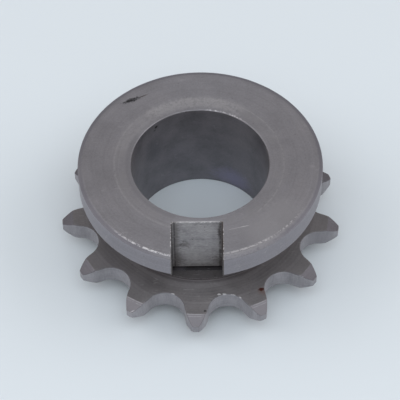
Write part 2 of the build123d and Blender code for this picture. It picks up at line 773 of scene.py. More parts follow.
@dataclass
class SprocketBody:
    """The whole steel body: hub and plate in one mesh, with the slot and the dent cut out."""

    sizes: SprocketSizes = SIZES
    crease_angle: float = 34.0
    normal_weight: int = 60
    # What a face's normal has along an axis, where that tells one zone from another
    level: float = 0.95
    upright: float = 0.2
    flat: float = 0.9
    steep: float = 0.97
    sideways: float = 0.3
    outward: float = 0.05
    # Distances in millimetres from a size at which one zone ends and the next starts
    margin: float = 0.1
    near: float = 0.05
    flank_start: float = 1.0

    def build(self) -> Object:
        """Builds, cuts and sorts the mesh.

        Returns:
            The finished object.
        """
        bench = MeshBench()
        lower_ring, upper_ring = TurnedHub(self.sizes).build(bench)
        ToothedPlate(self.sizes).build(bench, lower_ring, upper_ring)
        body = bench.object("sprocket_body")
        cutter = SlotCutter(self.sizes)
        for one in [cutter.build(), cutter.relief(), Gouge().build()]:
            self._cut(body, one)
        for face in body.data.polygons:
            face.material_index = self._zone(face.center / MILLIMETRE, face.normal).value
        self._shade(body)
        return body

    @staticmethod
    def _settle(body: Object) -> None:
        """Puts what an object's modifiers make in place of its mesh.

        Args:
            body: The object.
        """
        graph = bpy.context.evaluated_depsgraph_get()
        old, body.data = body.data, bpy.data.meshes.new_from_object(body.evaluated_get(graph))
        body.modifiers.clear()
        bpy.data.meshes.remove(old)

    def _cut(self, body: Object, cutter: Object) -> None:
        """Takes one closed object out of the body and removes it.

        Args:
            body: The object that is cut.
            cutter: What is taken out of it.
        """
        step = body.modifiers.new("cut", "BOOLEAN")
        step.operation = "DIFFERENCE"
        step.solver = "EXACT"
        step.object = cutter
        self._settle(body)
        bpy.data.meshes.remove(cutter.data)

    def _zone(self, centre: Vector, normal: Vector) -> Zone:
        """The zone of a face.

        Args:
            centre: Its middle, in millimetres.
            normal: Its normal.

        Returns:
            The zone.
        """
        s = self.sizes
        r = math.hypot(centre.x, centre.y)
        left, right = s.slot_sides
        across = left - HAIR < centre.x < right + HAIR
        at_foot = s.slot_back - s.relief_width - HAIR < centre.y < s.slot_back + s.relief_undercut + HAIR
        sunk = s.slot_floor - s.relief_depth - HAIR < centre.z < s.slot_floor - HAIR
        if across and at_foot and sunk and s.bore_radius + HAIR < r < s.neck_radius:
            return Zone.RELIEF
        on_floor = centre.y < s.slot_back and abs(centre.z - s.slot_floor) < HAIR
        if across and on_floor and normal.z > self.flat:
            return Zone.SLOT_FLOOR
        if self._in_slot(centre, normal):
            return Zone.SLOT_WALL
        if r < s.bore_radius + HAIR:
            return Zone.BORE
        if centre.z > s.collar_top - s.collar_rim_drop - self.margin and normal.z > self.upright:
            return Zone.TURNED_FACE
        if r > s.neck_radius + s.neck_head_break + self.margin and centre.z > s.collar_bottom + HAIR:
            return Zone.COLLAR_SIDE
        on_plate = s.plate_bottom - HAIR < centre.z < s.plate_top + s.neck_foot_radius
        if not on_plate or r <= s.neck_radius - HAIR or normal.z < -self.level:
            return Zone.UNDERSIDE
        if normal.z > self.level:
            return Zone.PLATE_FACE
        on_flank = abs(normal.z) < self.upright and r > s.neck_radius + self.flank_start
        return Zone.TOOTH_FLANK if on_flank else Zone.TOOTH_BEVEL

    def _in_slot(self, centre: Vector, normal: Vector) -> bool:
        """Whether a face is one of the slot's back, sides and broken edges.

        Args:
            centre: Its middle, in millimetres.
            normal: Its normal.

        Returns:
            True if it is.
        """
        s = self.sizes
        left, right = s.slot_sides
        reach = s.slot_edge_break + self.near
        r = math.hypot(centre.x, centre.y)
        outside = centre.z < s.slot_floor or centre.y > s.slot_back + reach
        if outside or r < s.bore_radius + self.margin or abs(normal.z) > self.steep:
            return False
        at_back = abs(centre.y - s.slot_back) < reach and left - reach < centre.x < right + reach
        if at_back and normal.y < -self.outward:
            return True
        on_side = min(abs(centre.x - left), abs(centre.x - right)) < reach and abs(normal.x) > self.sideways
        return on_side and abs(normal.z) < self.steep and r < s.collar_radius - self.near

    def _shade(self, body: Object) -> None:
        """Smooth shading with flat faces kept flat.

        Args:
            body: The object that is shaded.
        """
        body.data.polygons.foreach_set("use_smooth", [True] * len(body.data.polygons))
        body.data.set_sharp_from_angle(angle=math.radians(self.crease_angle))
        weigh = body.modifiers.new("face_weights", "WEIGHTED_NORMAL")
        weigh.keep_sharp = True
        weigh.weight = self.normal_weight
        self._settle(body)
        body.data.name = body.name


# Nodes

Feed = NodeSocket | float | Sequence[float] | None


def rgba(value: Feed) -> Feed:
    """A colour with its alpha; anything else as it is."""
    return (*value, 1.0) if isinstance(value, tuple) else value


@dataclass
class NodeBench:
    """Lays nodes in one tree and joins them."""

    tree: NodeTree

    def node(self, kind: str, feeds: dict[int | str, Feed] | None = None, **settings: object) -> Node:
        """Adds a node.

        Args:
            kind: Its type name.
            feeds: What goes into its inputs, by number or name.
            **settings: Properties of the node.

        Returns:
            The node.
        """
        made = self.tree.nodes.new(kind)
        for name, value in settings.items():
            setattr(made, name, value)
        for key, value in (feeds or {}).items():
            if isinstance(value, NodeSocket):
                self.tree.links.new(value, made.inputs[key])
            else:
                made.inputs[key].default_value = value
        return made

    def maths(self, operation: str, *values: Feed) -> NodeSocket:
        """A Math node's result."""
        return self.node("ShaderNodeMath", dict(enumerate(values)), operation=operation).outputs[0]

    def plus(self, first: Feed, second: Feed) -> NodeSocket:
        """One value and another."""
        return self.maths("ADD", first, second)

    def minus(self, first: Feed, second: Feed) -> NodeSocket:
        """One value less another."""
        return self.maths("SUBTRACT", first, second)

    def times(self, first: Feed, second: Feed) -> NodeSocket:
        """One value times another."""
        return self.maths("MULTIPLY", first, second)

    def over(self, first: Feed, second: Feed) -> NodeSocket:
        """One value divided by another."""
        return self.maths("DIVIDE", first, second)

    def more(self, base: Feed, mask: Feed, by: Feed) -> NodeSocket:
        """A value with so much added as a mask says."""
        return self.plus(base, self.times(mask, by))

    def vector(self, operation: str, *values: Feed) -> Node:
        """A Vector Math node, fed in order."""
        return self.node("ShaderNodeVectorMath", dict(enumerate(values)), operation=operation)

    def range(
        self, value: Feed, low: Feed, high: Feed, to_low: Feed = 0.0, to_high: Feed = 1.0
    ) -> NodeSocket:
        """A value mapped smoothly from the range low to high to the range to_low to to_high."""
        feeds = {"Value": value, "From Min": low, "From Max": high, "To Min": to_low, "To Max": to_high}
        return self.node("ShaderNodeMapRange", feeds, interpolation_type="SMOOTHSTEP").outputs["Result"]

    def above(self, value: Feed, limit: Feed, width: float) -> NodeSocket:
        """Where a value passes a limit, rising from 0 to 1 over a width."""
        return self.range(value, limit, self.plus(limit, width))

    def blend(self, factor: Feed, first: Feed, second: Feed, mode: str = "MIX") -> NodeSocket:
        """Two colours blended, with the factor as the share of the second."""
        feeds = {0: factor, 6: rgba(first), 7: rgba(second)}
        return self.node("ShaderNodeMix", feeds, data_type="RGBA", blend_type=mode).outputs[2]

    def noise(
        self, place: Feed, scale: Feed, detail: float = 2.0, roughness: float = 0.5, dimensions: str = "3D"
    ) -> NodeSocket:
        """Noise from 0 to 1.

        Args:
            place: Where it is read: a vector, or a value for one dimension.
            scale: How many features there are for each unit of place.
            detail: Octaves.
            roughness: Strength of the finer octaves.
            dimensions: "1D" or "3D".

        Returns:
            The noise.
        """
        reader = "W" if dimensions == "1D" else "Vector"
        feeds = {reader: place, "Scale": scale, "Detail": detail, "Roughness": roughness}
        return self.node("ShaderNodeTexNoise", feeds, noise_dimensions=dimensions).outputs["Fac"]

    def sway(self, place: Feed, scale: Feed, detail: float = 2.0, roughness: float = 0.5) -> NodeSocket:
        """Noise from -0.5 to 0.5."""
        return self.minus(self.noise(place, scale, detail, roughness), 0.5)

    def stretch(self, place: Feed, scale: Point3, turn: float = 0.0, shift: float = 0.0) -> NodeSocket:
        """A place turned about Z by radians, shifted along X and Y, and scaled."""
        feeds = {"Vector": place, "Location": (shift, shift, 0), "Rotation": (0, 0, turn), "Scale": scale}
        return self.node("ShaderNodeMapping", feeds).outputs[0]

    def group(self, tree: NodeTree, **feeds: Feed) -> dict[str, NodeSocket]:
        """Places a node group.

        Args:
            tree: The group.
            **feeds: Its inputs by name, with _ for a space.

        Returns:
            Its outputs by name.
        """
        named = {name.replace("_", " "): value for name, value in feeds.items()}
        made = self.node("ShaderNodeGroup", named, node_tree=tree)
        return {socket.name: socket for socket in made.outputs}

    def give(self, **results: NodeSocket) -> NodeTree:
        """Ends a group with its outputs by name."""
        self.node("NodeGroupOutput", results)
        return self.tree


def new_group(name: str, inputs: str, outputs: str) -> tuple[NodeBench, list[NodeSocket]]:
    """Starts a shader node group.

    Args:
        name: Its name.
        inputs: Names of its inputs, parted by commas; a star marks a vector, and the rest are values.
        outputs: Names of its outputs in the same way.

    Returns:
        Its bench, and what its inputs give in the same order.
    """
    tree = bpy.data.node_groups.new(name, "ShaderNodeTree")
    for way, labels in (("INPUT", inputs), ("OUTPUT", outputs)):
        for label in filter(None, labels.split(", ")):
            kind = "NodeSocketVector" if label.endswith("*") else "NodeSocketFloat"
            tree.interface.new_socket(label.rstrip("*"), in_out=way, socket_type=kind)
    bench = NodeBench(tree)
    return bench, list(bench.node("NodeGroupInput").outputs)[:-1]


# Shares of the fine and the coarse lines in tool marks
FINE_SHARE = 0.55
COARSE_SHARE = 0.45
# Turn in radians and shift of each set of scratches, and how both are drawn out
SCRATCH_WAYS = ((0.5, 3.0), (-1.1, 17.0))
SCRATCH_STRETCH = (0.1, 1.0, 0.4)
# Least width of a pit's edge, and the softness of a band's ends, as a cosine
PIT_EDGE = 0.001
SECTOR_FADE = 0.04
# Turns the brushed gloss of turned steel along its rings
QUARTER_TURN = 0.25


class SteelEffects:
    """The effects that several finishes share, each one node group built once."""

    def __init__(self) -> None:
        """Builds the groups."""
        self.place = self._place()
        self.tool_marks = self._tool_marks()
        self.mottle = self._mottle()
        self.scratches = self._scratches()
        self.pits = self._pits()
        self.grime_and_shade = self._grime_and_shade()
        self.edge_wear = self._edge_wear()
        self.band = self._band()
        self.patch = self._patch()

    @staticmethod
    def _place() -> NodeTree:
        """Millimetre coordinates about the bore axis.

        Returns:
            The group.
        """
        bench, _ = new_group("place_on_part", "", "Point*, Radius, Azimuth, Height, Across, Along")
        metres = bench.node("ShaderNodeTexCoord").outputs["Object"]
        feeds = {0: metres, "Scale": 1 / MILLIMETRE}
        point = bench.node("ShaderNodeVectorMath", feeds, operation="SCALE").outputs[0]
        x, y, z = bench.node("ShaderNodeSeparateXYZ", {0: point}).outputs
        radius = bench.maths("SQRT", bench.plus(bench.times(x, x), bench.times(y, y)))
        azimuth = bench.maths("ARCTAN2", y, x)
        return bench.give(Point=point, Radius=radius, Azimuth=azimuth, Height=z, Across=x, Along=y)

    @staticmethod
    def _tool_marks() -> NodeTree:
        """Fine parallel marks that a cutting edge leaves as it is fed across a surface.

        Returns:
            The group.
        """
        inputs = "Travel, Point*, Feed, Wander, Seed"
        bench, (travel, point, feed, wander, seed) = new_group("tool_marks", inputs, "Tone, Height")
        moved = bench.plus(bench.more(travel, bench.sway(point, scale=0.09, detail=1.0), wander), seed)
        fine = bench.noise(bench.over(moved, feed), scale=1.0, roughness=0.6, dimensions="1D")
        coarse = bench.noise(bench.over(moved, feed), scale=0.21, dimensions="1D")
        strength = bench.range(bench.noise(point, scale=0.16), low=0.3, high=0.72, to_low=0.35)
        both = bench.plus(bench.times(fine, FINE_SHARE), bench.times(coarse, COARSE_SHARE))
        tone = bench.times(bench.minus(both, 0.5), strength)
        return bench.give(Tone=tone, Height=bench.times(tone, feed))

    @staticmethod
    def _mottle() -> NodeTree:
        """Cloudy unevenness with a finer grain in it, from -0.5 to 0.5.

        Returns:
            The group.
        """
        bench, (point, cloud, grain) = new_group("mottle", "Point*, Cloud Size, Grain Size", "Cloud, Grain")
        clouds = bench.sway(point, bench.over(1.0, cloud), detail=4.0, roughness=0.55)
        grains = bench.sway(point, bench.over(1.0, grain), detail=3.0, roughness=0.6)
        return bench.give(Cloud=clouds, Grain=grains)

    @staticmethod
    def _scratches() -> NodeTree:
        """Broken hairline scratches in two directions, as a mask.

        Returns:
            The group.
        """
        bench, (point, spacing, broken) = new_group("scratches", "Point*, Spacing, Break", "Mask")
        lines = []
        for turn, shift in SCRATCH_WAYS:
            drawn = bench.stretch(point, SCRATCH_STRETCH, turn, shift)
            swayed = bench.sway(drawn, bench.over(1.0, spacing), detail=1.0, roughness=0.4)
            away = bench.maths("ABSOLUTE", swayed)
            lines.append(bench.range(away, low=0.004, high=0.014, to_low=1.0, to_high=0.0))
        keep = bench.above(bench.noise(point, scale=0.5), broken, width=0.1)
        return bench.give(Mask=bench.times(bench.maths("MAXIMUM", *lines), keep))

    @staticmethod
    def _pits() -> NodeTree:
        """Scattered specks of uneven size, as a mask.

        Returns:
            The group.
        """
        bench, (point, spacing, reach) = new_group("pits", "Point*, Spacing, Reach", "Mask")
        feeds = {"Vector": point, "Scale": bench.over(1.0, spacing)}
        cells = bench.node("ShaderNodeTexVoronoi", feeds, feature="F1").outputs
        tint = bench.node("ShaderNodeSeparateColor", {0: cells["Color"]}).outputs[0]
        chance = bench.range(tint, low=0.45, high=1.0)
        size = bench.times(chance, reach)
        speck = bench.range(cells["Distance"], bench.times(size, 0.5), bench.plus(size, PIT_EDGE), 1.0, 0.0)
        return bench.give(Mask=bench.times(speck, bench.range(chance, low=0.0, high=0.1)))

    @staticmethod
    def _grime_and_shade() -> NodeTree:
        """Dirt that gathers in corners, together with painted shade there read from ambient occlusion, as a
        mask.

        Returns:
            The group.
        """
        bench, (point, reach, start) = new_group("corner_grime", "Point*, Reach, Start", "Mask")
        feeds = {"Distance": bench.times(reach, MILLIMETRE)}
        # Painted shade: ambient occlusion darkens corners and hollows, beside real dirt
        nook = bench.node("ShaderNodeAmbientOcclusion", feeds, samples=6).outputs["AO"]
        level = bench.more(bench.minus(1.0, nook), bench.sway(point, scale=0.9, detail=3.0), by=0.35)
        return bench.give(Mask=bench.above(level, start, width=0.35))

    @staticmethod
    def _edge_wear() -> NodeTree:
        """Steel rubbed bright along the edges, as a mask.

        Returns:
            The group.
        """
        bench, (point, width, broken) = new_group("edge_wear", "Point*, Width, Break", "Mask")
        feeds = {"Radius": bench.times(width, MILLIMETRE)}
        rounded = bench.node("ShaderNodeBevel", feeds, samples=6).outputs[0]
        facing = bench.node("ShaderNodeNewGeometry").outputs["Normal"]
        turned = bench.minus(1.0, bench.vector("DOT_PRODUCT", rounded, facing).outputs["Value"])
        keep = bench.above(bench.noise(point, scale=1.7, detail=3.0, roughness=0.65), broken, width=0.16)
        return bench.give(Mask=bench.times(bench.range(turned, low=0.01, high=0.12), keep))

    @staticmethod
    def _band() -> NodeTree:
        """A band about a chosen value and within a sector, broken up by noise, as a mask.

        Returns:
            The group.
        """
        inputs = "Value, Middle, Half Width, Softness, Point*, Grain Size, Break, Azimuth, Facing, Spread"
        bench, given = new_group("broken_band", inputs, "Mask")
        value, middle, half, soft, point, size, broken, azimuth, facing, spread = given
        frayed = bench.more(value, bench.sway(point, scale=1.3), half)
        away = bench.maths("ABSOLUTE", bench.minus(frayed, middle))
        band = bench.range(away, bench.minus(half, soft), bench.plus(half, soft), 1.0, 0.0)
        uneven = bench.noise(point, bench.over(1.0, size), detail=3.0, roughness=0.65)
        keep = bench.above(uneven, broken, width=0.15)
        level = bench.maths("COSINE", bench.minus(azimuth, facing))
        limit = bench.maths("COSINE", spread)
        within = bench.range(level, bench.minus(limit, SECTOR_FADE), bench.plus(limit, SECTOR_FADE))
        return bench.give(Mask=bench.times(bench.times(band, keep), within))

    @staticmethod
    def _patch() -> NodeTree:
        """One ragged oval place, as a mask.

        Returns:
            The group.
        """
        inputs = "Point*, Middle*, Turn, Reach*, Ragged, Softness"
        bench, (point, middle, turn, reach, ragged, soft) = new_group("ragged_patch", inputs, "Mask")
        shifted = bench.vector("SUBTRACT", point, middle).outputs[0]
        feeds = {"Vector": shifted, "Angle": bench.times(turn, -1.0)}
        turned = bench.node("ShaderNodeVectorRotate", feeds, rotation_type="Z_AXIS").outputs[0]
        scaled = bench.vector("DIVIDE", turned, reach).outputs[0]
        length = bench.vector("LENGTH", scaled).outputs["Value"]
        away = bench.more(length, bench.sway(point, scale=2.2, detail=3.0, roughness=0.6), ragged)
        return bench.give(Mask=bench.range(away, bench.minus(1.0, soft), 1.0, 1.0, 0.0))


# Finishes


class Coordinate(Enum):
    """The coordinates that tool marks and bands are laid along."""

    RADIUS = "Radius"
    HEIGHT = "Height"
    ACROSS = "Across"
    ALONG = "Along"


@dataclass(frozen=True)
class Band:
    """A line or zone that follows one coordinate, all round or within a sector (azimuth and half angle)."""

    along: Coordinate
    middle: float
    half: float
    colour: Colour
    amount: float
    soft: float = 0.08
    grain: float = 0.6
    broken: float = 0.0
    sector: Point2 = (0.0, 180.0)
    roughness: float = 0.0
    height: float = 0.0


@dataclass(frozen=True)
class Patch:
    """One spot, stain, nick or patch of painted light at a place of its own."""

    middle: Point3
    reach: Point3
    colour: Colour
    amount: float
    turn: float = 0.0
    ragged: float = 0.7
    soft: float = 0.5
    roughness: float = 0.0
    height: float = 0.0


@dataclass
class Surface:
    """A finish in the making: its bench, its coordinates, and what its nodes give so far."""

    bench: NodeBench
    place: dict[str, NodeSocket]
    colour: Feed = None
    rough: Feed = None
    height: Feed = None

    def mask(self, effect: NodeTree, **feeds: Feed) -> NodeSocket:
        """The mask that a shared effect gives here."""
        return self.bench.group(effect, Point=self.place["Point"], **feeds)["Mask"]

    def cover(self, amount: Feed, colour: Colour) -> None:
        """Lays a colour over what is there."""
        self.colour = self.bench.blend(amount, self.colour, colour)

    def roughen(self, mask: Feed, by: float) -> None:
        """Adds to the roughness where a mask lies."""
        self.rough = self.bench.more(self.rough, mask, by)

    def lift(self, mask: Feed, by: float) -> None:
        """Adds millimetres to the height where a mask lies."""
        self.height = self.bench.more(self.height, mask, by)

    def lay(self, mask: NodeSocket, mark: Band | Patch) -> None:
        """Lays one band or patch over what is there.

        Args:
            mask: Where it lies.
            mark: What it changes.
        """
        self.cover(self.bench.times(mask, mark.amount), mark.colour)
        if mark.roughness:
            self.roughen(mask, mark.roughness)
        if mark.height:
            self.lift(mask, mark.height)


@dataclass(frozen=True)
class SteelFinish:
    """Bare tool-finished steel under a thin dull film, with what years of use left on it, and painted
    highlights and shade.
    """

    name: str
    steel: Colour
    metallic: float = 0.7
    roughness: float = 0.55
    least_roughness: float = 0.2
    specular: float = 0.25
    anisotropy: float = 0.0
    travel: Coordinate = Coordinate.RADIUS
    feed: float = 0.3
    wander: float = 1.2
    mark_tone: float = 0.25
    mark_height: float = 0.02
    cloud_size: float = 9.0
    cloud_tone: float = 0.2
    cloud_stretch: Point3 = (1.0, 1.0, 1.0)
    grain_size: float = 0.5
    grain_tone: float = 0.2
    tarnish: Colour = (0.12, 0.10, 0.09)
    tarnish_amount: float = 0.12
    # Corner grime with painted corner shade: its colour (also the pits' colour), amount, reach and start
    grime_and_shade: Colour = (0.035, 0.03, 0.028)
    grime_and_shade_amount: float = 0.5
    grime_and_shade_reach: float = 1.2
    grime_and_shade_start: float = 0.45
    scratch_tone: float = 0.18
    scratch_spacing: float = 1.6
    scratch_break: float = 0.56
    pit_tone: float = 0.5
    pit_spacing: float = 1.4
    pit_reach: float = 0.16
    wear: Colour = (0.52, 0.51, 0.52)
    wear_amount: float = 0.5
    wear_width: float = 0.22
    wear_break: float = 0.4
    bands: tuple[Band, ...] = ()
    patches: tuple[Patch, ...] = ()
    # What each effect adds to the roughness, what rubbing takes off it, and heights in millimetres
    cloud_roughness: float = 0.14
    mark_roughness: float = 0.12
    grime_roughness: float = 0.2
    wear_polish: float = 0.15
    grain_height: float = 0.006
    scratch_height: float = -0.004
    pit_height: float = -0.02
    # Cloud tone at which the tarnish is full
    tarnish_level: float = 0.3

    def build(self, effects: SteelEffects) -> bpy.types.Material:
        """Makes the material.

        Args:
            effects: The shared groups.

        Returns:
            The material.
        """
        material = bpy.data.materials.new(self.name)
        material.use_nodes = True
        material.node_tree.nodes.clear()
        bench = NodeBench(material.node_tree)
        surface = Surface(bench, bench.group(effects.place))
        self._work(surface, effects)
        self._use(surface, effects)
        self._mark(surface, effects)
        relief = {"Strength": 1.0, "Distance": MILLIMETRE, "Height": surface.height}
        feeds = {
            "Base Color": surface.colour,
            "Metallic": self.metallic,
            "Specular IOR Level": self.specular,
            "Roughness": bench.maths("MAXIMUM", surface.rough, self.least_roughness),
            "Normal": bench.node("ShaderNodeBump", relief).outputs[0],
        }
        if self.anisotropy:
            feeds["Anisotropic"] = self.anisotropy
            feeds["Anisotropic Rotation"] = QUARTER_TURN
            feeds["Tangent"] = bench.node("ShaderNodeTangent", direction_type="RADIAL", axis="Z").outputs[0]
        shader = bench.node("ShaderNodeBsdfPrincipled", feeds)
        bench.node("ShaderNodeOutputMaterial", {"Surface": shader.outputs[0]})
        return material

    def _work(self, surface: Surface, effects: SteelEffects) -> None:
        """Lays the steel as the tool left it: marks, clouds and grain.

        Args:
            surface: The finish in the making.
            effects: The shared groups.
        """
        bench, place = surface.bench, surface.place
        marks = bench.group(
            effects.tool_marks, Travel=place[self.travel.value], Point=place["Point"],
            Feed=self.feed, Wander=self.wander, Seed=float(len(self.name)),
        )
        drawn = bench.stretch(place["Point"], self.cloud_stretch)
        sizes = {"Cloud_Size": self.cloud_size, "Grain_Size": self.grain_size}
        mottle = bench.group(effects.mottle, Point=drawn, **sizes)
        cloud, grain = mottle["Cloud"], mottle["Grain"]
        tone = bench.more(bench.times(marks["Tone"], self.mark_tone), cloud, self.cloud_tone)
        tone = bench.plus(bench.more(tone, grain, self.grain_tone), 1.0)
        grey = bench.node("ShaderNodeCombineColor", dict.fromkeys(range(3), tone)).outputs[0]
        stain = bench.range(cloud, 0.0, self.tarnish_level, 0.0, self.tarnish_amount)
        stained = bench.blend(stain, self.steel, self.tarnish)
        surface.colour = bench.blend(1.0, stained, grey, "MULTIPLY")
        surface.rough = self.roughness
        surface.roughen(cloud, self.cloud_roughness)
        surface.roughen(marks["Tone"], self.mark_roughness)
        surface.height = bench.times(marks["Height"], self.mark_height / self.feed)
        surface.lift(grain, self.grain_height)

    def _use(self, surface: Surface, effects: SteelEffects) -> None:
        """Lays what use adds: corner grime with painted corner shade, scratches, pits and rubbed edges.

        Args:
            surface: The finish in the making.
            effects: The shared groups.
        """
        bench = surface.bench
        # Corner grime and painted corner shade
        dirt_and_shade = surface.mask(effects.grime_and_shade, Reach=self.grime_and_shade_reach, Start=self.grime_and_shade_start)
        dirt_and_shade = bench.times(dirt_and_shade, self.grime_and_shade_amount)
        surface.cover(dirt_and_shade, self.grime_and_shade)
        surface.roughen(dirt_and_shade, self.grime_roughness)
        lines = surface.mask(effects.scratches, Spacing=self.scratch_spacing, Break=self.scratch_break)
        surface.cover(bench.times(lines, self.scratch_tone), self.wear)
        surface.lift(lines, self.scratch_height)
        specks = surface.mask(effects.pits, Spacing=self.pit_spacing, Reach=self.pit_reach)
        surface.cover(bench.times(specks, self.pit_tone), self.grime_and_shade)
        surface.lift(specks, self.pit_height)
        rubbed = surface.mask(effects.edge_wear, Width=self.wear_width, Break=self.wear_break)
        rubbed = bench.times(rubbed, self.wear_amount)
        surface.cover(rubbed, self.wear)
        surface.rough = bench.minus(surface.rough, bench.times(rubbed, self.wear_polish))

    def _mark(self, surface: Surface, effects: SteelEffects) -> None:
        """Lays the bands and then the patches.

        Args:
            surface: The finish in the making.
            effects: The shared groups.
        """
        for band in self.bands:
            facing, spread = (math.radians(angle) for angle in band.sector)
            mask = surface.mask(
                effects.band, Value=surface.place[band.along.value], Middle=band.middle,
                Half_Width=band.half, Softness=band.soft, Grain_Size=band.grain, Break=band.broken,
                Azimuth=surface.place["Azimuth"], Facing=facing, Spread=spread,
            )
            surface.lay(mask, band)
        for patch in self.patches:
            mask = surface.mask(
                effects.patch, Middle=patch.middle, Turn=math.radians(patch.turn), Reach=patch.reach,
                Ragged=patch.ragged, Softness=patch.soft,
            )
            surface.lay(mask, patch)


# Mark colours. GLINT and BRIGHT paint highlights and also colour bright scuffs and rubbed edges; BLACK and
# BROWN colour dark marks and dirt and also paint shade in the slot; RUST and RUST_HALO are rust
GLINT = (0.66, 0.65, 0.68)
BRIGHT = (0.42, 0.41, 0.43)
BLACK = (0.012, 0.011, 0.012)
BROWN = (0.05, 0.035, 0.028)
RUST = (0.055, 0.012, 0.008)
RUST_HALO = (0.16, 0.10, 0.085)

ring = partial(Band, Coordinate.RADIUS)
level = partial(Band, Coordinate.HEIGHT)
upright = partial(Band, Coordinate.ACROSS)


def level_patch(z: float, at: Point2, reach: Point2, colour: Colour, amount: float, **rest: float) -> Patch:
    """A patch on a level face, placed by X and Y."""
    return Patch((*at, z), (*reach, 1.0), colour, amount, **rest)


def on_slot_back(at: Point2, reach: Point2, colour: Colour, amount: float, **rest: float) -> Patch:
    """A patch on the slot's back, placed by X and Z."""
    return Patch((at[0], SIZES.slot_back, at[1]), (reach[0], 1.0, reach[1]), colour, amount, **rest)


on_collar = partial(level_patch, SIZES.collar_top)
on_plate = partial(level_patch, SIZES.plate_top)

# Painted highlights (glints) along the edge of the plate between the front teeth, shared by its face and the
# bevels
EDGE_GLINT_HEIGHT = 7.72
EDGE_GLINTS = tuple(
    Patch((x, y, EDGE_GLINT_HEIGHT), (length, width, 0.5), GLINT, amount, turn, ragged, soft=0.6)
    for x, y, length, width, amount, turn, ragged in (
        (-5.85, -21.8, 0.5, 0.36, 0.9, 0.0, 1.8),
        (3.55, -21.95, 0.5, 0.26, 0.9, 0.0, 1.8),
        (4.55, -21.9, 0.45, 0.24, 0.8, 0.0, 1.8),
        (6.2, -22.15, 0.75, 0.2, 0.8, -15.0, 2.0),
        (7.7, -22.85, 0.42, 0.28, 0.9, -30.0, 1.8),
    )
)

